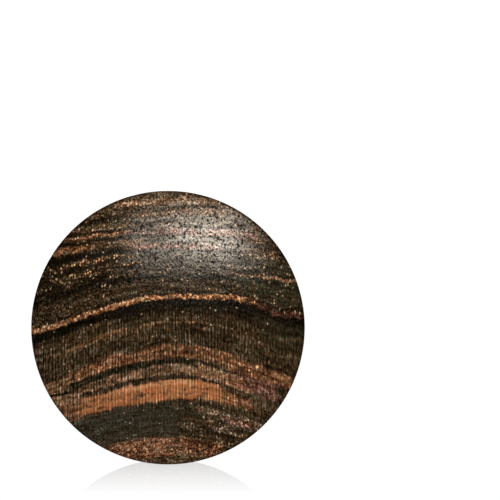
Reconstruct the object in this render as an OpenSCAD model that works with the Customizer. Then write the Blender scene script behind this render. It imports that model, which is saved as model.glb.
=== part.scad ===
// Double-flared saddle plug for a stretched ear lobe, turned from one piece of banded dark wood.
// It lies on its two rims with its axis along Y and its domed face towards -Y, and the floor is Z = 0.

/* [Gauge] */
// Diameter at the bottom of the saddle, which is the size that the plug is sold by
gauge_d = 25; // [18:0.5:50]

/* [Saddle] */
// Height of the rims over the bottom of the saddle
flare_rise = 0.7; // [0.5:0.05:2]
// Distance between the crests of the two rims, along the axis
crest_gap = 12.7; // [10:0.1:16]

/* [Faces] */
// Height of the domed face over the crest of its rim
dome_h = 5; // [2:0.1:7]
// Radius of the round between the dome and the saddle
front_rim_r = 0.5; // [0.3:0.05:0.8]
// Radius of the round between the saddle and the flat back
back_rim_r = 0.5; // [0.3:0.05:0.8]

/* [Hidden] */
$fn = 180;

// The dome, the saddle and the back cut this far into the rims' rounds, so that they cross and don't only touch
bite = 0.005;
// Straight cuts run this far past the arcs that trim them
cut_over = 1;

saddle_floor_r = gauge_d / 2;
crest_r = saddle_floor_r + flare_rise;
front_touch_r = front_rim_r - bite;
back_touch_r = back_rim_r - bite;

// The profile's first coordinate is the radius, and its second runs along the axis from the front crest at zero
front_rim = [crest_r - front_rim_r, 0];
back_rim = [crest_r - back_rim_r, -crest_gap];
back_face = -crest_gap - back_touch_r;
length_mid = (dome_h + back_face) / 2;

// The dome's arc peaks on the axis and runs round the outside of the front rim's round
dome_r = (pow(front_rim[0], 2) + pow(dome_h, 2) - pow(front_touch_r, 2)) / (2 * (dome_h - front_touch_r));
dome_centre = [0, dome_h - dome_r];

// The saddle's arc hangs from both rims' rounds, with its lowest point half-way when their radii are alike
saddle_sag = flare_rise - bite;
saddle_low = -crest_gap / 2 - saddle_sag * (front_touch_r - back_touch_r) / crest_gap;
saddle_r = pow(saddle_low, 2) / (2 * saddle_sag) + saddle_sag / 2 - front_touch_r;
saddle_centre = [saddle_floor_r + saddle_r, saddle_low];

// Where the arcs leave the rims' rounds
dome_end = front_rim + front_touch_r * heading(dome_centre, front_rim);
saddle_front = front_rim + front_touch_r * heading(front_rim, saddle_centre);
saddle_back = back_rim + back_touch_r * heading(back_rim, saddle_centre);

// The unit vector that points from one place to another
function heading(from, to) = (to - from) / norm(to - from);

// Everything inside the rims' rounds, as a straight-sided blank that the dome and the saddle trim
module body_profile() {
    front_corner = dome_end + cut_over * heading(saddle_front, dome_end);
    difference() {
        intersection() {
            polygon([
                [0, back_face],
                [back_rim[0], back_face],
                saddle_back,
                saddle_front,
                front_corner,
                [front_corner[0], dome_h + cut_over],
                [0, dome_h + cut_over],
            ]);
            translate(dome_centre) circle(dome_r);
        }
        translate(saddle_centre) circle(saddle_r);
    }
}

module plug_profile() {
    difference() {
        union() {
            body_profile();
            translate(front_rim) circle(front_rim_r);
            translate(back_rim) circle(back_rim_r);
        }
        // levels the back rim's round with the flat back
        translate([0, back_face - cut_over]) square([crest_r, cut_over]);
    }
}

module saddle_plug() {
    color([0.24, 0.16, 0.10])
        translate([0, length_mid, crest_r])
            rotate([90, 0, 0])
                rotate_extrude() plug_profile();
}

saddle_plug();
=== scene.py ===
# A saddle plug for a stretched lobe, turned from striped ebony, lying on its two rims on a pale lit sheet.
import math

import bpy
import numpy as np
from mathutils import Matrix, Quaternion, Vector


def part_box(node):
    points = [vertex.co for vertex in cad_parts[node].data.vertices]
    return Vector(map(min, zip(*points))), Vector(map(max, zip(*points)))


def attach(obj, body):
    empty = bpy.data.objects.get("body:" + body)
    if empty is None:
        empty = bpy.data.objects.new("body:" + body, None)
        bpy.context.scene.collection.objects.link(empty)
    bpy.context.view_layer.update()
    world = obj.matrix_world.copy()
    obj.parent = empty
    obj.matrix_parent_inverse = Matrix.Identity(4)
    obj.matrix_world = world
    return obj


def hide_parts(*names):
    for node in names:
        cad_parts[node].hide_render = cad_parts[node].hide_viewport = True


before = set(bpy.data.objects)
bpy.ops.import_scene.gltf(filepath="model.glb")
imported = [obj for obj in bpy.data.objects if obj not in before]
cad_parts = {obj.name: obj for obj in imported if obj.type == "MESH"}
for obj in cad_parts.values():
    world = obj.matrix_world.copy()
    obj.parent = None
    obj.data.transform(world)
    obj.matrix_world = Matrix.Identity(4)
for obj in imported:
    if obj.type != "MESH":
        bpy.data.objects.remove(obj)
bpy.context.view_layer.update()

mm = 0.001

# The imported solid's box in mm. The dome is towards -Y, and the plug's axis runs along Y.
plugLow, plugHigh = [np.array(corner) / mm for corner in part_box("saddle_plug")]
rimRadius = (plugHigh[0] - plugLow[0]) / 2
axisHeight = (plugHigh[2] + plugLow[2]) / 2


# an sRGB hex code as linear red, green, blue and alpha
def hexToLinear(code):
    values = [int(code[i:i + 2], 16) / 255 for i in (1, 3, 5)]
    return [v / 12.92 if v <= 0.04045 else ((v + 0.055) / 1.055) ** 2.4 for v in values] + [1.0]


# Settings go on the node and links on its inputs, in order or by name or number. A node among the links
# stands for its first output.
def addNode(tree, kind, links=(), **settings):
    node = tree.nodes.new("ShaderNode" + kind)
    for name, value in settings.items():
        setattr(node, name, value)
    pairs = links.items() if isinstance(links, dict) else enumerate(links)
    for socket, value in pairs:
        if isinstance(value, bpy.types.Node):
            value = value.outputs[0]
        if isinstance(value, bpy.types.NodeSocket):
            tree.links.new(value, node.inputs[socket])
        else:
            node.inputs[socket].default_value = value
    return node


# The turned shape, in mm. The rims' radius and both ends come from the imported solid.
plugShape = {
    "domeHeight": 5.0,      # from the front rim's crest to the top of the dome
    "flareRise": 0.7,       # from the bottom of the saddle to the crests
    "rimRound": 0.5,
    "crestGap": 12.7,
    "faceCells": 176,       # squares across each face
    "saddleRows": 40,
    "rimRows": 7,
}

# How the grain runs through the turned shape
grainRun = {
    "drift": (0.008, 0.005),    # mm across and up for each square mm, which the lines drift behind the dome
    "wave": 0.12,               # mm that they also rise and fall there
    "waveRadian": (2.1, 3.4),   # mm along the fibres and up, for each radian of that wave
    "waveStart": 1.0,           # mm over which it grows
    "endGrain": 0.45,           # a normal that lies this much along the fibres shows end grain alone
    "sideGrain": 0.1,           # and one that lies this much along them shows side grain alone
}

# Where growth lines run across the face, in mm from the axis. Each line's key is its level, which the
# ground, the bands and the rings go by.
growthLines = {
    -13.2: [(-13.2, -16.5), (-7, -14.4), (0, -13.2), (7, -14.2), (13.2, -16.2)],
    -10.6: [(-13.2, -13.6), (-7, -11.7), (0, -10.6), (5, -11.2), (9, -12.4), (13.2, -14.0)],
    -6.76: [(-13.2, -10.6), (-7.7, -8.36), (-4.9, -7.63), (-2.1, -7.2), (1.3, -6.76), (3.1, -6.76),
            (5.6, -7.3), (8.4, -8.12), (13.2, -10.3)],
    -4.92: [(-13.2, -8.3), (-10.7, -7.4), (-7.7, -6.8), (-5, -5.95), (-3, -5.47), (-1, -5.12), (1.5, -4.92),
            (3, -5.05), (4.4, -5.37), (5.6, -5.85), (6.9, -6.35), (8, -6.7), (11, -8.1), (13.2, -9.1)],
    -3.6: [(-13.2, -7.2), (-9, -5.9), (-5, -4.5), (-1.3, -3.75), (1.5, -3.6), (3.5, -4.0), (5, -4.55),
           (6.9, -5.05), (9, -5.7), (13.2, -7.4)],
    -1.45: [(-13.2, -5.9), (-10.7, -4.95), (-9.2, -4.4), (-7.6, -3.65), (-6.1, -3.0), (-4.5, -2.55),
            (-3, -2.1), (-1.5, -1.72), (0, -1.5), (1.5, -1.45), (3, -1.65), (4.7, -2.05), (6, -2.5),
            (7.2, -3.05), (8.9, -3.55), (10, -4.05), (11.8, -4.75), (13.2, -5.3)],
    3.12: [(-13.2, -0.35), (-11, 0.2), (-9, 1.02), (-7, 1.58), (-5, 2.14), (-3, 2.67), (-1, 3.02),
           (1.5, 3.12), (5, 3.04), (7, 2.95), (8, 2.72), (9, 2.3), (10, 1.85), (11, 1.57), (13.2, 1.4)],
    5.49: [(-13.2, 2.7), (-11, 3.5), (-7.6, 4.5), (-4.8, 5.2), (-3.3, 5.39), (0, 5.49), (4.6, 5.34),
           (7, 5.19), (10.3, 4.89), (13.2, 4.35)],
    8.31: [(-13.2, 6.8), (-10, 7.5), (-7.7, 7.8), (-6.1, 8.13), (-4.2, 8.3), (1.1, 8.45), (3.8, 8.35),
           (7.5, 8.1), (13.2, 7.3)],
    12.6: [(-13.2, 11.2), (-4, 12.3), (2.5, 12.6), (8, 12.2), (13.2, 11.6)],
}


# A smooth line through listed points
def alongLine(points, x):
    px, pz = np.array(points).T
    slope = np.gradient(pz, px)
    i = np.clip(np.searchsorted(px, x) - 1, 0, len(px) - 2)
    span = px[i + 1] - px[i]
    t = np.clip((x - px[i]) / span, 0, 1)
    ahead, behind = t * t * (3 - 2 * t), (1 - t) ** 2 * (1 + 2 * t)
    return (behind * pz[i] + ahead * pz[i + 1]
            + span * (t * (1 - t) ** 2 * slope[i] - t * t * (1 - t) * slope[i + 1]))


# The level of each point between the growth lines
def growthLevel(x, z):
    levels = sorted(growthLines)
    heights = [alongLine(growthLines[level], x) for level in levels]
    ring = levels[0] + z - heights[0]
    for low, high, under, over in zip(levels, levels[1:], heights, heights[1:]):
        share = (z - under) / (over - under)
        ring = np.where(share >= 0, low + (high - low) * share, ring)
    return ring


# Radius and place along the axis, from the edge of the dome round both rims to the edge of the back
def turnedProfile(shape):
    rimRound, half = shape["rimRound"], shape["crestGap"] / 2
    rimCentre = rimRadius - rimRound
    frontCrest = plugLow[1] + shape["domeHeight"]
    backCrest = frontCrest + shape["crestGap"]

    # the dome and the saddle each take the radius that touches the rims' rounds
    domeRadius = ((rimCentre ** 2 + shape["domeHeight"] ** 2 - rimRound ** 2)
                  / (2 * (shape["domeHeight"] - rimRound)))
    inset = rimRound - shape["flareRise"]
    saddleRadius = (inset ** 2 + half ** 2 - rimRound ** 2) / (2 * (rimRound - inset))
    domeEdge = math.asin(rimCentre / (domeRadius - rimRound))
    saddleLean = math.asin(half / (saddleRadius + rimRound))
    saddleMid = frontCrest + half
    saddleCentre = rimRadius - shape["flareRise"] + saddleRadius

    rimTurn = np.linspace(domeEdge, math.pi / 2 + saddleLean, shape["rimRows"] + 1)
    saddleTurn = np.linspace(-saddleLean, saddleLean, shape["saddleRows"] + 1)[1:-1]
    backTurn = np.linspace(math.pi / 2 - saddleLean, math.pi, shape["rimRows"] + 1)
    radius = np.concatenate([rimCentre + rimRound * np.sin(rimTurn),
                             saddleCentre - saddleRadius * np.cos(saddleTurn),
                             rimCentre + rimRound * np.sin(backTurn)])
    along = np.concatenate([frontCrest - rimRound * np.cos(rimTurn),
                            saddleMid + saddleRadius * np.sin(saddleTurn),
                            np.minimum(backCrest - rimRound * np.cos(backTurn), plugHigh[1])])
    return radius, along, domeRadius, domeEdge


# A square grid pressed out to a disc, so that its cells stay alike from the middle to the edge
def discGrid(cells):
    a, b = np.meshgrid(np.linspace(-1, 1, cells + 1), np.linspace(-1, 1, cells + 1), indexing="ij")
    wide = np.abs(a) >= np.abs(b)
    long, short = np.where(wide, a, b), np.where(wide, b, a)
    turn = math.pi / 4 * np.divide(short, long, out=np.zeros_like(long), where=long != 0)
    angle = np.where(wide, turn, math.pi / 2 - turn)
    return long * np.cos(angle), long * np.sin(angle)


def makePlug(shape, grain):
    radius, along, domeRadius, domeEdge = turnedProfile(shape)
    cells = shape["faceCells"]
    around = 4 * cells
    gridX, gridZ = discGrid(cells)
    reach = np.hypot(gridX, gridZ)

    # the dome, the back, and the rings of the rims and the saddle
    domeTurn = reach * domeEdge
    spread = np.divide(domeRadius * np.sin(domeTurn), reach, out=np.zeros_like(reach), where=reach > 0)
    dome = np.stack([gridX * spread, plugLow[1] + domeRadius * (1 - np.cos(domeTurn)), gridZ * spread], -1)
    back = np.stack([gridX * radius[-1], np.full_like(reach, along[-1]), gridZ * radius[-1]], -1)
    turn = np.linspace(-math.pi / 4, 7 * math.pi / 4, around, endpoint=False)
    rings = np.stack([np.outer(radius[1:-1], np.cos(turn)),
                      np.repeat(along[1:-1, None], around, 1),
                      np.outer(radius[1:-1], np.sin(turn))], -1)
    points = np.concatenate([dome.reshape(-1, 3), back.reshape(-1, 3), rings.reshape(-1, 3)])

    # squares on both faces, and rows of them from the dome's edge over the rings to the back's edge
    index = np.arange((cells + 1) ** 2).reshape(cells + 1, cells + 1)
    faces = np.stack([index[:-1, :-1], index[1:, :-1], index[1:, 1:], index[:-1, 1:]], -1).reshape(-1, 4)
    edge = np.concatenate([index[-1, :-1], index[:0:-1, -1], index[0, :0:-1], index[:-1, 0]])
    ringIndex = np.arange(len(rings) * around).reshape(len(rings), -1) + 2 * index.size
    rows = np.concatenate([edge[None], ringIndex, edge[None] + index.size])
    after = np.roll(rows, -1, 1)
    sides = np.stack([rows[:-1], rows[1:], after[1:], after[:-1]], -1).reshape(-1, 4)
    quads = np.concatenate([faces, faces[:, ::-1] + index.size, sides])

    mesh = bpy.data.meshes.new("turned_plug")
    mesh.from_pydata((points * mm + np.array([0, 0, axisHeight * mm])).tolist(), [], quads.tolist())
    mesh.validate()
    mesh.shade_smooth()

    # behind the dome the lines wander a little, so that the back isn't the face's mirror image
    behind = np.clip(points[:, 1] - along[0], 0, None)
    driftX, driftZ = np.outer(grain["drift"], behind ** 2)
    level = growthLevel(points[:, 0] + driftX, points[:, 2] + driftZ)
    wave = np.sin(behind / grain["waveRadian"][0] + points[:, 2] / grain["waveRadian"][1])
    level += grain["wave"] * np.clip(behind / grain["waveStart"], 0, 1) * wave

    # 0 where the surface cuts across the fibres, 1 where it runs along them
    normals = np.empty(len(points) * 3)
    mesh.vertex_normals.foreach_get("vector", normals)
    tilt = (grain["endGrain"] - np.abs(normals[1::3])) / (grain["endGrain"] - grain["sideGrain"])
    tilt = np.clip(tilt, 0, 1)

    # 1 on the two rims' rounds, short of where they meet the saddle
    onEdge = np.isclose(reach.reshape(-1), 1)
    ringNumber = np.arange(1, len(along) - 1)
    onRimRing = (ringNumber <= shape["rimRows"] - 2) | (ringNumber >= len(along) - shape["rimRows"] + 1)
    onRim = np.concatenate([onEdge, onEdge, np.repeat(onRimRing, around)])

    for name, values in (("growthLevel", level),
                         ("sideGrain", tilt * tilt * (3 - 2 * tilt)),
                         ("rim", onRim.astype(float))):
        mesh.attributes.new(name, "FLOAT", "POINT").data.foreach_set("value", values)
    plug = bpy.data.objects.new("turned_plug", mesh)
    bpy.context.scene.collection.objects.link(plug)
    return plug


# The colours in the oiled wood
woodColours = {
    "pitch": "#150f06",
    "charcoal": "#353023",
    "darkBrown": "#271c0d",
    "walnut": "#3a2c1a",
    "brown": "#443420",
    "umber": "#5c4328",
    "ochre": "#7e5e42",
    "rust": "#7e5333",
    "russet": "#683e25",
    "copper": "#9f6339",
    "paleCopper": "#d6a070",
    "gold": "#b48a5a",
    "bead": "#f8bf88",
    "pearl": "#e8d0bc",
    "dust": "#b4987a",
    "rose": "#8a5a48",
    "wine": "#553126",
    "green": "#262213",
    "tan": "#8a5f38",
    "honey": "#b07b44",
}

# The ground between the bands, as (level in mm, colour)
woodGround = [
    (-13.0, "brown"), (-12.2, "umber"), (-10.4, "umber"), (-9.9, "brown"), (-7.8, "charcoal"),
    (-7.1, "brown"), (-4.7, "brown"), (-4.4, "darkBrown"), (-3.3, "green"), (-2.8, "darkBrown"),
    (-1.2, "walnut"), (-0.6, "walnut"), (0.4, "brown"), (1.1, "walnut"), (1.6, "darkBrown"),
    (2.1, "pitch"), (2.7, "pitch"), (3.3, "darkBrown"), (3.8, "walnut"), (4.4, "walnut"),
    (5.0, "pitch"), (5.6, "darkBrown"), (7.0, "darkBrown"), (7.5, "pitch"), (8.2, "darkBrown"),
    (9.6, "darkBrown"), (10.0, "brown"), (10.6, "darkBrown"), (11.2, "walnut"), (12.2, "brown"),
]

# The same along the fibres, where the wood looks lighter and more golden
sideGround = [
    (-13.0, "umber"), (-11.6, "tan"), (-9.8, "umber"), (-8.6, "brown"), (-7.4, "darkBrown"),
    (-6.9, "tan"), (-5.2, "honey"), (-4.5, "brown"), (-3.7, "tan"), (-3.1, "pitch"),
    (-2.5, "umber"), (-1.3, "honey"), (0.2, "tan"), (1.2, "honey"), (1.9, "umber"),
    (2.25, "pitch"), (2.95, "pitch"), (3.3, "honey"), (4.2, "tan"), (4.8, "darkBrown"),
    (5.3, "tan"), (6.2, "honey"), (7.2, "umber"), (7.8, "darkBrown"), (8.3, "tan"),
    (9.1, "umber"), (9.8, "honey"), (10.6, "brown"), (11.6, "tan"), (12.6, "umber"),
]

# Bands in the ground. Each has its upper level, its thickness, and its first and last place across, in mm,
# then how much of it shows, its colour, its beads' colour, the share of places that hold a bead, and how
# grainy it is.
woodBands = [
    (12.5, 0.5, -5.2, 5.0, 0.9, "ochre", "pearl", 0.2, 0.9),
    (11.5, 0.7, 0.5, 5.4, 0.5, "rust", "pearl", 0.15, 0.8),
    (11.2, 0.45, -3.8, 0.6, 0.8, "ochre", "pearl", 0.4, 1.0),
    (10.2, 0.5, -9.4, -3.4, 0.7, "umber", "pearl", 0.2, 1.0),
    (9.5, 0.6, -2.0, 8.6, 0.6, "rose", "pearl", 0.2, 0.8),
    (9.4, 0.42, -10.5, -2.7, 0.8, "rust", "pearl", 0.3, 0.9),
    (8.95, 0.4, -13.5, -5.2, 0.9, "pitch", "dust", 0.0, 0.6),
    (8.85, 0.45, 7.0, 9.6, 0.8, "rust", "pearl", 0.5, 1.0),
    (8.5, 0.5, -13.5, -7.0, 0.9, "rust", "gold", 0.35, 0.8),
    (8.45, 0.45, -7.0, -2.0, 0.7, "ochre", "pearl", 0.3, 0.9),
    (8.0, 0.5, -4.0, 5.0, 0.7, "rose", "pearl", 0.25, 0.8),
    (7.95, 0.9, 6.6, 10.6, 0.9, "umber", "pearl", 0.45, 1.0),
    (7.75, 0.5, -13.5, -4.6, 1.0, "pitch", "dust", 0.0, 0.6),
    (7.25, 0.45, -11.5, -3.0, 1.2, "walnut", "bead", 0.42, 1.0),
    (6.75, 0.25, -13.5, -7.5, 0.9, "pitch", "dust", 0.0, 0.7),
    (6.4, 0.4, -11.5, -3.0, 1.2, "walnut", "bead", 0.42, 1.0),
    (5.5, 0.3, -5.8, -3.2, 0.7, "umber", "pearl", 0.5, 1.0),
    (5.5, 0.3, -3.2, 6.6, 0.5, "brown", "dust", 0.1, 0.8),
    (7.0, 3.6, 6.8, 13.5, 1.0, "green", "dust", 0.0, 0.6),
    (5.52, 0.22, 6.6, 13.0, 0.7, "rust", "pearl", 0.3, 0.9),
    (3.25, 0.38, -13.5, 7.8, 2.0, "rust", "bead", 0.98, 1.0),
    (3.1, 0.4, 7.8, 13.5, 0.6, "wine", "rose", 0.25, 0.9),
    (2.2, 2.0, 8.5, 13.5, 0.8, "green", "dust", 0.0, 0.5),
    (2.0, 1.0, -13.5, -5.6, 1.3, "brown", "dust", 0.1, 1.0),
    (0.85, 0.4, -9.2, -4.0, 0.9, "rust", "gold", 0.1, 0.8),
    (0.75, 0.35, -3.2, -1.2, 0.8, "rust", "gold", 0.3, 0.9),
    (0.75, 0.4, -11.5, 4.6, 0.9, "umber", "dust", 0.1, 1.0),
    (0.2, 0.5, -0.2, 0.4, 0.8, "gold", "bead", 0.0, 0.6),
    (0.55, 1.1, -1.0, 6.0, 1.2, "darkBrown", "rose", 0.05, 0.9),
    (-1.3, 1.4, -10.2, -4.2, 1.0, "rust", "paleCopper", 0.15, 1.0),
    (-1.5, 1.25, -4.2, 5.0, 0.75, "rust", "paleCopper", 0.12, 0.9),
    (-1.5, 1.4, 5.0, 9.8, 0.9, "rust", "bead", 0.3, 0.9),
    (-1.7, 1.75, -13.5, -9.6, 1.3, "ochre", "paleCopper", 0.15, 0.9),
    (-1.5, 1.3, 9.8, 13.5, 1.0, "rust", "bead", 0.2, 0.8),
    (-6.85, 3.7, -9.5, 1.6, 0.9, "charcoal", "dust", 0.0, 0.45),
    (-3.6, 0.75, -9.4, -1.8, 1.1, "ochre", "dust", 0.1, 0.9),
    (-3.4, 1.0, -1.8, 2.8, 1.0, "ochre", "paleCopper", 0.05, 0.7),
    (-3.15, 1.4, 2.8, 7.8, 1.3, "ochre", "bead", 0.3, 0.8),
    (-2.8, 1.6, 6.2, 10.6, 0.65, "rose", "rose", 0.1, 0.9),
    (-3.9, 1.2, -13.5, -9.0, 1.6, "ochre", "gold", 0.3, 0.8),
    (-5.15, 1.65, -10.4, -7.8, 0.65, "rust", "gold", 0.05, 0.5),
    (-5.8, 0.6, -11.4, -9.2, 0.5, "rust", "gold", 0.1, 0.8),
    (-5.25, 1.4, 4.6, 8.0, 1.0, "rust", "rose", 0.1, 0.9),
    (-4.9, 1.82, -8.2, 5.2, 1.4, "copper", "paleCopper", 0.05, 0.25),
    (-4.92, 0.4, -6.2, 2.4, 0.4, "paleCopper", "gold", 0.05, 0.3),
    (-7.1, 3.4, 1.2, 11.0, 1.2, "walnut", "dust", 0.15, 1.0),
    (-7.55, 0.5, 3.0, 8.6, 0.9, "umber", "pearl", 0.7, 1.0),
    (-8.0, 0.5, 5.8, 8.2, 0.9, "rose", "pearl", 0.6, 1.0),
    (-8.55, 0.4, 1.6, 5.4, 0.8, "umber", "dust", 0.5, 1.0),
    (-9.0, 0.5, 4.4, 7.6, 0.9, "umber", "pearl", 0.6, 1.0),
    (-10.0, 0.35, 2.8, 6.2, 0.8, "umber", "dust", 0.5, 1.0),
    (-10.5, 1.9, -5.8, 0.35, 1.4, "russet", "paleCopper", 0.88, 1.0),
    (-10.55, 1.5, 0.85, 5.0, 1.2, "russet", "paleCopper", 0.86, 1.0),
]

# How much the rays show at each level, and which share of the pores is filled and pale there
rayStrength = [
    (-10.5, 0.2), (-7.4, 0.35), (-6.8, 1.0), (-1.4, 0.9), (0.5, 0.9), (2.2, 0.7), (2.8, 0.1), (3.4, 0.1),
]
paleShare = [
    (-12.0, 0.15), (-9.0, 0.02), (2.8, 0.02), (3.6, 0.1), (4.9, 0.08), (6.0, 0.22), (7.5, 0.06),
    (9.0, 0.15), (13.0, 0.2),
]

# Noises in the wood: what each follows, its size in mm across, along the fibres and up, its detail and its
# roughness. Most are long along the fibres, which run along Y. For those that follow the growth lines, up is
# the line's level.
woodNoises = {
    "patch": ("block", (1.25, 6.67, 0.5556), 3.0, 0.7),
    "rayFade": ("block", (0.3333, 10.0, 2.0), 1.0, 0.5),
    "rayBend": ("block", (1.25, 20.0, 8.33), 2.0, 0.5),
    "specks": ("block", (0.17, 1.43, 0.17), 1.0, 0.5),          # cells, drawn as clumps so that they show
    "streaks": ("block", (0.1619, 1.43, 0.425), 1.0, 0.5),      # the same, drawn out upwards by the rays
    "weave": ("block", (4.0, 2.22, 4.0), 1.0, 0.5),
    "rings": ("lines", (2.86, 8.33, 0.3333), 3.0, 0.6),
    "tint": ("lines", (0.714, 5.56, 0.3333), 3.0, 0.8),
}

# Where a value has four numbers, they are two values of a noise and what those two stand for
woodFinish = {
    # gloss
    "ior": 1.5,
    "roughness": 0.26,                          # oil rubbed into sanded wood
    "poreRoughness": 0.56,
    "cellGlint": (0.36, 0.54, 0.15, 0.85),      # specular level, as the oil stands on some cells
    "ringGlint": (0.35, 0.65, 0.55, 1.4),       # how much of it each ring has
    "bumpDepth": 0.03,                          # mm
    "bumpStrength": 0.4,
    # growth lines, bands and rings
    "waverSize": (0.8333, 8.33, 1.667),         # mm, as for the noises
    "waverDetail": 5.0,
    "waverRoughness": 0.7,
    "lineWaver": (0.25, 0.75, -0.22, 0.22),     # mm up
    "endWaver": (0.25, 0.75, 1.2, -1.2),        # mm sideways, at the bands' ends
    "bandEdge": 0.14,                           # mm, or a third of a thin band
    "bandEnd": 1.0,                             # mm, or a quarter of a short one
    "patches": (0.38, 0.58, 0.35, 1.0),         # how much of a band shows
    "rings": (0.3, 0.7, -1.05, 0.75),           # tone, as a power of e
    "blotches": (0.3, 0.7, -0.4, 0.4),          # the same
    "greener": (0.42, 1.14, 1.25, 1.0),         # what the two ends of the tint do to red, green and blue
    "redder": (1.58, 0.86, 0.75, 1.0),
    # rays and cells
    "raySpacing": 0.29,                         # mm, drawn wide so that the rays show
    "rayContrast": 0.9,
    "rayFade": (0.34, 0.64, 0.1, 1.3),
    "rayBend": 14.0,                            # radians, and one ray is 2 pi
    "rayFew": (5.0, 9.0, 1.0, 0.4),             # from 5 to 9 mm across, the rays grow few
    "rayGrain": 0.5,                            # a power under 1, as rays cross smooth bands too
    "cellMiddle": 0.53,                         # the noise where a cell has the mean tone
    "speckContrast": 9.0,
    "streakContrast": 6.0,                      # where the rays are
    # pores
    "poreWeave": 1.0,                           # mm that a pore strays sideways along its way
    "poreRows": (0.38, 0.58, 0.15, 1.3),        # how many pores are pale on each ring
    "groundBeads": 0.006,                       # the share of places that hold a bead between the bands
    "beadRows": (0.7, 0.95, 0.006, 0.97),       # the share of large beads, which only full rows have
    "beadLevel": 2.91,                          # mm, a level that the rows keep to, as the brightest does
    "openTone": 0.3,                            # how dark an open pore is
    # oil, and the wood along the fibres
    "rimPaintedShade": 0.72,                            # painted shade: the rims' rounds are darker, as they turn away from the light
    "toneByColour": (0.86, 1.0, 1.3),           # the oil makes dark tones redder, and thin walls are greyer
    "sideBands": 0.5,                           # how much of the bands is left along the fibres
    "sideContrast": 0.75,                       # how much of the grain's contrast is
    "sideStreaks": (0.39, 0.45, 0.25, 1.0),     # the darkest rings are streaks with clear edges there
}

# Pores, and the large ones that look like beads: mm from one to the next, how far each strays, its outer and
# inner edge as shares of that distance, the dullest filled one's brightness, and the share that is closed
woodPores = {
    "pores": {"spacing": 0.25, "stray": 0.9, "edge": (0.44, 0.16), "dullest": 0.15, "closed": 0.8},
    "beads": {"spacing": 0.5, "stray": 0.7, "edge": (0.34, 0.12), "dullest": 0.5, "closed": 0.88},
}


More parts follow.
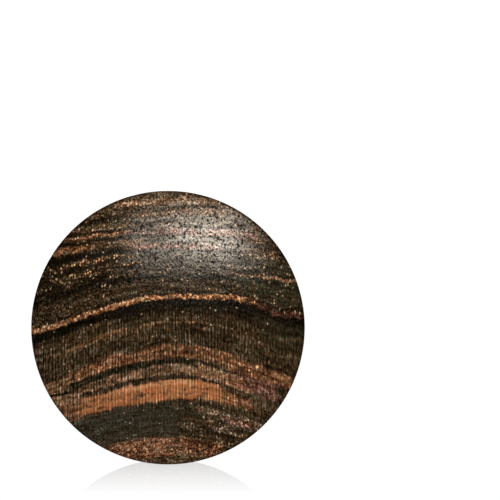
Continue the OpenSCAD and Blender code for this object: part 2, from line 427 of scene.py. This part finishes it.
# Striped ebony, turned, sanded and oiled. Its end grain drinks the oil, so the face is charcoal and brown
# with copper stripes, pale filled pores and fine upright rays, and its low satin gloss breaks over the open
# pores. Along the fibres it is golden brown with dark streaks.
def makeStripedEbony(finish):
    material = bpy.data.materials.new("sanded_oiled_striped_ebony")
    material.use_nodes = True
    tree = material.node_tree
    tree.nodes.clear()

    place = addNode(tree, "TexCoord")
    inMm = addNode(tree, "VectorMath", {0: place.outputs["Object"], 3: 1 / mm}, operation="SCALE")
    fromAxis = addNode(tree, "VectorMath", [inMm, (0, 0, -axisHeight)], operation="ADD")
    sideways, backwards = addNode(tree, "SeparateXYZ", [fromAxis]).outputs[:2]
    level, sideGrain, rim = [addNode(tree, "Attribute", attribute_name=name).outputs["Fac"]
                             for name in ("growthLevel", "sideGrain", "rim")]

    # growth lines waver, and so do the ends of bands
    waverAt = addNode(tree, "VectorMath", [fromAxis, finish["waverSize"]], operation="DIVIDE")
    waver = addNode(tree, "TexNoise", {"Vector": waverAt, "Scale": 1.0, "Detail": finish["waverDetail"],
                                       "Roughness": finish["waverRoughness"]})
    lineShift = addNode(tree, "MapRange", [waver, *finish["lineWaver"]])
    ring = addNode(tree, "Math", [level, lineShift], operation="ADD")
    endShift = addNode(tree, "MapRange", [waver, *finish["endWaver"]])
    across = addNode(tree, "Math", [sideways, endShift], operation="ADD")

    # the other noises, through the block or along the wavering lines
    followed = {"block": fromAxis, "lines": addNode(tree, "CombineXYZ", [sideways, backwards, ring])}
    noises = {}
    for name, (follows, size, detail, roughness) in woodNoises.items():
        noiseAt = addNode(tree, "VectorMath", [followed[follows], size], operation="DIVIDE")
        noises[name] = addNode(tree, "TexNoise", {"Vector": noiseAt, "Scale": 1.0, "Detail": detail,
                                                  "Roughness": roughness})

    # ground colour by level, and where rays and pale pores are
    share = addNode(tree, "MapRange", [ring, -rimRadius, rimRadius])
    ramps = []
    for table in ([(height, hexToLinear(woodColours[name])) for height, name in woodGround],
                  [(height, hexToLinear(woodColours[name])) for height, name in sideGround],
                  [(height, (shown, shown, shown, 1)) for height, shown in rayStrength],
                  [(height, (shown, shown, shown, 1)) for height, shown in paleShare]):
        ramp = addNode(tree, "ValToRGB", [share])
        stops = ramp.color_ramp.elements
        for height, value in table:
            stops.new((height + rimRadius) / (2 * rimRadius)).color = value
        stops.remove(stops[0])
        stops.remove(stops[len(stops) - 1])
        ramps.append(ramp)
    faceGround, longGround, rayLevel, paleLevel = ramps
    ground = addNode(tree, "Mix", {0: sideGrain, 6: faceGround, 7: longGround}, data_type="RGBA")

    # bands, one over the other, each a little patchy along its length
    sideShare = addNode(tree, "MapRange", {0: sideGrain, 3: 1.0, 4: finish["sideBands"]})
    patch = addNode(tree, "MapRange", [noises["patch"], *finish["patches"]])
    patch = addNode(tree, "Math", [patch, sideShare], operation="MULTIPLY")
    colour, beadShare, grain = ground.outputs[2], finish["groundBeads"], 1.0
    beadColour = hexToLinear(woodColours["dust"])
    for top, thick, first, last, shown, name, beadName, beads, grainy in woodBands:
        soft = min(finish["bandEdge"], thick / 3)
        fade = min(finish["bandEnd"], (last - first) / 4)
        mask = addNode(tree, "Math", [patch, shown], operation="MULTIPLY")
        for value, start, full in ((ring, top - thick - soft, top - thick + soft),
                                   (ring, top + soft, top - soft),
                                   (across, first - fade, first + fade),
                                   (across, last + fade, last - fade)):
            step = addNode(tree, "MapRange", [value, start, full], interpolation_type="SMOOTHSTEP")
            mask = addNode(tree, "Math", [mask, step], operation="MULTIPLY")
        colour = addNode(tree, "Mix", {0: mask, 6: colour, 7: hexToLinear(woodColours[name])},
                         data_type="RGBA").outputs[2]
        beadColour = addNode(tree, "Mix", {0: mask, 6: beadColour, 7: hexToLinear(woodColours[beadName])},
                             data_type="RGBA").outputs[2]
        beadShare = addNode(tree, "Mix", {0: mask, 2: beadShare, 3: beads}, data_type="FLOAT")
        grain = addNode(tree, "Mix", {0: mask, 2: grain, 3: grainy}, data_type="FLOAT")

    # rays: upright walls of cells, each fading in and out over its height
    rayFade = addNode(tree, "MapRange", [noises["rayFade"], *finish["rayFade"]])
    rayBend = addNode(tree, "Math", [noises["rayBend"], finish["rayBend"]], operation="MULTIPLY")
    rays = addNode(tree, "Math", [sideways, 2 * math.pi / finish["raySpacing"], rayBend],
                   operation="MULTIPLY_ADD")
    rays = addNode(tree, "Math", [rays], operation="SINE")
    rayFew = addNode(tree, "MapRange", [across, *finish["rayFew"]])
    for value in (rayFade, rayLevel, sideShare, rayFew, finish["rayContrast"]):
        rays = addNode(tree, "Math", [rays, value], operation="MULTIPLY")

    # cells: specks, which are drawn out into upright streaks where the rays are
    cells = addNode(tree, "Mix", {0: rayLevel, 2: noises["specks"], 3: noises["streaks"]},
                    data_type="FLOAT")
    cells = addNode(tree, "Math", [cells, finish["cellMiddle"]], operation="SUBTRACT")
    contrast = addNode(tree, "MapRange",
                       {0: rayLevel, 3: finish["speckContrast"], 4: finish["streakContrast"]})
    cells = addNode(tree, "Math", [cells, contrast], operation="MULTIPLY")

    # the tone of the cells, of fine rings and blotches, and of the rays, as a power of e
    ringTone = addNode(tree, "MapRange", [noises["rings"], *finish["rings"]])
    blotch = addNode(tree, "MapRange", [noises["patch"].outputs["Color"], *finish["blotches"]])
    tone = addNode(tree, "Math", [cells, ringTone], operation="ADD")
    tone = addNode(tree, "Math", [tone, blotch], operation="ADD")
    tone = addNode(tree, "Math", [tone, grain], operation="MULTIPLY")
    rayGrain = addNode(tree, "Math", [grain, finish["rayGrain"]], operation="POWER")
    tone = addNode(tree, "Math", [rays, rayGrain, tone], operation="MULTIPLY_ADD")
    toneShare = addNode(tree, "MapRange", {0: sideGrain, 3: 1.0, 4: finish["sideContrast"]})
    tone = addNode(tree, "Math", [tone, toneShare], operation="MULTIPLY")
    tone = addNode(tree, "Math", [tone], operation="EXPONENT")
    tone = addNode(tree, "VectorMath", [tone, finish["toneByColour"]], operation="POWER")
    colour = addNode(tree, "VectorMath", [colour, tone], operation="MULTIPLY")

    # pores: tubes along the fibres, in rows that follow the growth lines, some filled and some open
    rowShare = addNode(tree, "MapRange", [noises["rings"], *finish["poreRows"]])
    largeShare = addNode(tree, "MapRange", [beadShare, *finish["beadRows"]])
    smallShare = addNode(tree, "Math", [beadShare, largeShare], operation="SUBTRACT")
    paleLevel = addNode(tree, "Math", [paleLevel, smallShare], operation="ADD")
    paleLevel = addNode(tree, "Math", [paleLevel, rowShare], operation="MULTIPLY")
    weave = addNode(tree, "Math", [noises["weave"], finish["poreWeave"], sideways],
                    operation="MULTIPLY_ADD")
    onRow = addNode(tree, "Math", [ring, finish["beadLevel"]], operation="SUBTRACT")
    poreAt = addNode(tree, "CombineXYZ", [weave, onRow])
    pits = []
    # each pore takes its lots from the pattern's colour
    for name, pale in (("pores", paleLevel), ("beads", largeShare)):
        pore = woodPores[name]
        holes = addNode(tree, "TexVoronoi",
                        {"Vector": poreAt, "Scale": 1 / pore["spacing"], "Randomness": pore["stray"]},
                        voronoi_dimensions="2D")
        disc = addNode(tree, "MapRange", [holes.outputs["Distance"], *pore["edge"]],
                       interpolation_type="SMOOTHSTEP")
        paleLot, brightLot, openLot = addNode(tree, "SeparateColor", [holes.outputs["Color"]]).outputs
        isPale = addNode(tree, "Math", [paleLot, pale], operation="LESS_THAN")
        bright = addNode(tree, "MapRange", {0: brightLot, 3: pore["dullest"]},
                         interpolation_type="SMOOTHSTEP")
        mask = addNode(tree, "Math", [disc, isPale], operation="MULTIPLY")
        mask = addNode(tree, "Math", [mask, bright], operation="MULTIPLY")
        colour = addNode(tree, "Mix", {0: mask, 6: colour, 7: beadColour}, data_type="RGBA").outputs[2]
        isOpen = addNode(tree, "Math", [openLot, pore["closed"]], operation="GREATER_THAN")
        pits.append(addNode(tree, "Math", [disc, isOpen], operation="MULTIPLY"))
    pit = addNode(tree, "Math", pits, operation="MAXIMUM")
    openMask = addNode(tree, "Math", [pit, grain], operation="MULTIPLY")

    # what darkens the wood: open pores, streaks along the fibres, and painted shade on the rims' rounds
    openTone = addNode(tree, "MapRange", {0: openMask, 3: 1.0, 4: finish["openTone"]})
    streak = addNode(tree, "MapRange", [noises["rings"], *finish["sideStreaks"]],
                     interpolation_type="SMOOTHSTEP")
    streak = addNode(tree, "Mix", {0: sideGrain, 2: 1.0, 3: streak}, data_type="FLOAT")
    dark = addNode(tree, "Math", [openTone, streak], operation="MULTIPLY")
    # painted shade on the rims' rounds, where they turn away from the light
    rimPaintedShade = addNode(tree, "MapRange", {0: rim, 3: 1.0, 4: finish["rimPaintedShade"]})
    for value in (dark, rimPaintedShade):
        colour = addNode(tree, "VectorMath", {0: colour, 3: value}, operation="SCALE")

    # short lengths of ring have a tint of their own, redder or greener
    tint = addNode(tree, "Mix", {0: noises["tint"], 6: finish["greener"], 7: finish["redder"]},
                   data_type="RGBA")
    colour = addNode(tree, "VectorMath", [colour, tint.outputs[2]], operation="MULTIPLY")

    # the oil fills the cell walls and leaves the open pores dull
    roughness = addNode(tree, "MapRange", {0: openMask, 3: finish["roughness"], 4: finish["poreRoughness"]})
    glint = addNode(tree, "MapRange", [noises["specks"], *finish["cellGlint"]])
    ringGlint = addNode(tree, "MapRange", [noises["rings"], *finish["ringGlint"]])
    for value in (ringGlint, dark):
        glint = addNode(tree, "Math", [glint, value], operation="MULTIPLY")

    # the bands stay out of the height, because Cycles works it out three times over
    height = addNode(tree, "Math", [noises["specks"], pit], operation="SUBTRACT")
    bump = addNode(tree, "Bump", {"Height": height, "Distance": finish["bumpDepth"] * mm,
                                  "Strength": finish["bumpStrength"]})

    surface = addNode(tree, "BsdfPrincipled",
                      {"Base Color": colour, "Roughness": roughness, "IOR": finish["ior"],
                       "Specular IOR Level": glint, "Normal": bump})
    addNode(tree, "OutputMaterial", [surface])
    return material


plug = makePlug(plugShape, grainRun)
plug.data.materials.append(makeStripedEbony(woodFinish))
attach(plug, "root")
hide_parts("saddle_plug")
print("plug:", len(plug.data.polygons), "faces,", len(woodBands), "bands in its wood")

acrylicSheet = {
    "side": 4.0,            # m
    "glow": 1.02,
    "mirror": 0.37,         # at the plug, seen along the sheet
    "fromAbove": 0.3,       # how much of that is left seen from above
    "ior": 1.49,
    "mirrorEnd": 0.07,      # m from the plug to where the mirror image is gone
}


# Opal acrylic, cast with a polished face and lit from below, brighter than the exposure holds. It is an
# even white with no visible edge, and a faint sharp mirror image in it fades away from the plug.
def makeLitOpalAcrylic(sheet):
    material = bpy.data.materials.new("lit_opal_acrylic_sheet")
    material.use_nodes = True
    tree = material.node_tree
    tree.nodes.clear()
    place = addNode(tree, "TexCoord")
    distance = addNode(tree, "VectorMath", [place.outputs["Object"]], operation="LENGTH")
    mirror = addNode(tree, "MapRange",
                     [distance.outputs["Value"], 0.0, sheet["mirrorEnd"], sheet["mirror"], 0.0])
    slant = addNode(tree, "Fresnel", {"IOR": sheet["ior"]})
    slant = addNode(tree, "MapRange", {0: slant, 3: sheet["fromAbove"], 4: 1.0})
    mirror = addNode(tree, "Math", [mirror, slant], operation="MULTIPLY")
    glow = addNode(tree, "Emission", {"Strength": sheet["glow"]})
    gloss = addNode(tree, "BsdfGlossy", {"Color": (1, 1, 1, 1), "Roughness": 0.0})
    both = addNode(tree, "MixShader", [mirror, glow, gloss])
    addNode(tree, "OutputMaterial", [both])
    return material


def makeSheet(sheet):
    half = sheet["side"] / 2
    corners = [(-half, -half, 0), (half, -half, 0), (half, half, 0), (-half, half, 0)]
    mesh = bpy.data.meshes.new("pale_sheet")
    mesh.from_pydata(corners, [], [(0, 1, 2, 3)])
    mesh.materials.append(makeLitOpalAcrylic(sheet))
    floor = bpy.data.objects.new("pale_sheet", mesh)
    bpy.context.scene.collection.objects.link(floor)
    floor.visible_glossy = False  # the wood mirrors the dim room and not the sheet
    print("sheet:", sheet["side"], "m square")


makeSheet(acrylicSheet)

studioLight = {
    "aim": (0.0043, -0.007, 0.022),     # m, the dome's brightest place
    "keyFrom": (0.325, -0.57, 0.755),   # the way from there to the softbox's bright middle
    "spillFrom": (0.21, -0.6, 0.772),   # the way to the middle of its cloth
    "keyDistance": 0.55,                # m
    "keySize": (0.26, 0.19),            # m, the bright middle
    "spillSize": (0.66, 0.33),          # m, all of its cloth
    "keyRoll": -5.0,                    # degrees
    "keyColour": (1.0, 0.9, 0.76),      # linear, warm
    "keyRadiance": 7.5,
    "spillRadiance": 3.55,
    "room": 0.003,                      # what the wood's gloss mirrors
    "fill": 0.37,                       # what comes back from the walls
    "white": 1.06,                      # the backdrop, to the camera and in the sheet's mirror
}


def makeLight(light):
    for name, way, size, radiance in (
            ("softbox_middle", light["keyFrom"], light["keySize"], light["keyRadiance"]),
            ("softbox_cloth", light["spillFrom"], light["spillSize"], light["spillRadiance"])):
        way = Vector(way).normalized()
        turn = way.to_track_quat("Z", "Y") @ Quaternion((0, 0, 1), math.radians(light["keyRoll"]))
        lamp = bpy.data.lights.new(name, "AREA")
        lamp.shape = "RECTANGLE"
        lamp.size, lamp.size_y = size
        lamp.color = light["keyColour"]
        lamp.energy = radiance * math.pi * lamp.size * lamp.size_y
        softbox = bpy.data.objects.new(name, lamp)
        softbox.location = Vector(light["aim"]) + way * light["keyDistance"]
        softbox.rotation_euler = turn.to_euler()
        bpy.context.scene.collection.objects.link(softbox)

    # a sharp mirror's rays are singular, and the wood's satin gloss throws none
    world = bpy.data.worlds.new("studio")
    world.use_nodes = True
    bpy.context.scene.world = world
    tree = world.node_tree
    tree.nodes.clear()
    path = addNode(tree, "LightPath")
    fill = addNode(tree, "Mix", {0: path.outputs["Is Diffuse Ray"], 2: light["room"], 3: light["fill"]},
                   data_type="FLOAT")
    isWhite = addNode(tree, "Math", [path.outputs["Is Camera Ray"], path.outputs["Is Singular Ray"]],
                      operation="MAXIMUM")
    shown = addNode(tree, "Mix", {0: isWhite, 2: fill, 3: light["white"]}, data_type="FLOAT")
    back = addNode(tree, "Background", {"Color": (1, 1, 1, 1), "Strength": shown})
    addNode(tree, "OutputWorld", [back])
    print("light: a softbox", light["keyDistance"], "m away, and a dim room")


makeLight(studioLight)

# The camera stands so that the front rim is a disc of this place and size in a square picture
cameraSetup = {
    "elevation": 0.8,               # degrees
    "distance": 500.0,              # mm from the front rim's crest
    "imageSide": 500,               # pixels, as the next three
    "discCentreX": 168.05,
    "discCentreY": 327.63,
    "discRadius": 136.74,
    "sensor": 36.0,                 # mm
    "clip": (0.01, 20.0),           # m
}


def makeCamera(setup, shape):
    pixelsPerMm = setup["discRadius"] / rimRadius
    centre = Vector((0, plugLow[1] + shape["domeHeight"], axisHeight))
    lift = math.radians(setup["elevation"])
    place = centre + setup["distance"] * Vector((0, -math.cos(lift), math.sin(lift)))
    half = setup["imageSide"] / 2
    aim = centre + Vector((half - setup["discCentreX"], 0, setup["discCentreY"] - half)) / pixelsPerMm
    data = bpy.data.cameras.new("camera")
    data.sensor_width = setup["sensor"]
    data.lens = setup["sensor"] * setup["distance"] * pixelsPerMm / setup["imageSide"]
    data.clip_start, data.clip_end = setup["clip"]
    camera = bpy.data.objects.new("camera", data)
    camera.location = place * mm
    camera.rotation_euler = (aim - place).to_track_quat("-Z", "Y").to_euler()
    bpy.context.scene.collection.objects.link(camera)
    bpy.context.scene.camera = camera
    print("camera:", round(data.lens), "mm lens")


makeCamera(cameraSetup, plugShape)
bpy.context.scene.view_settings.view_transform = "Standard"  # plain sRGB, as the colours above are
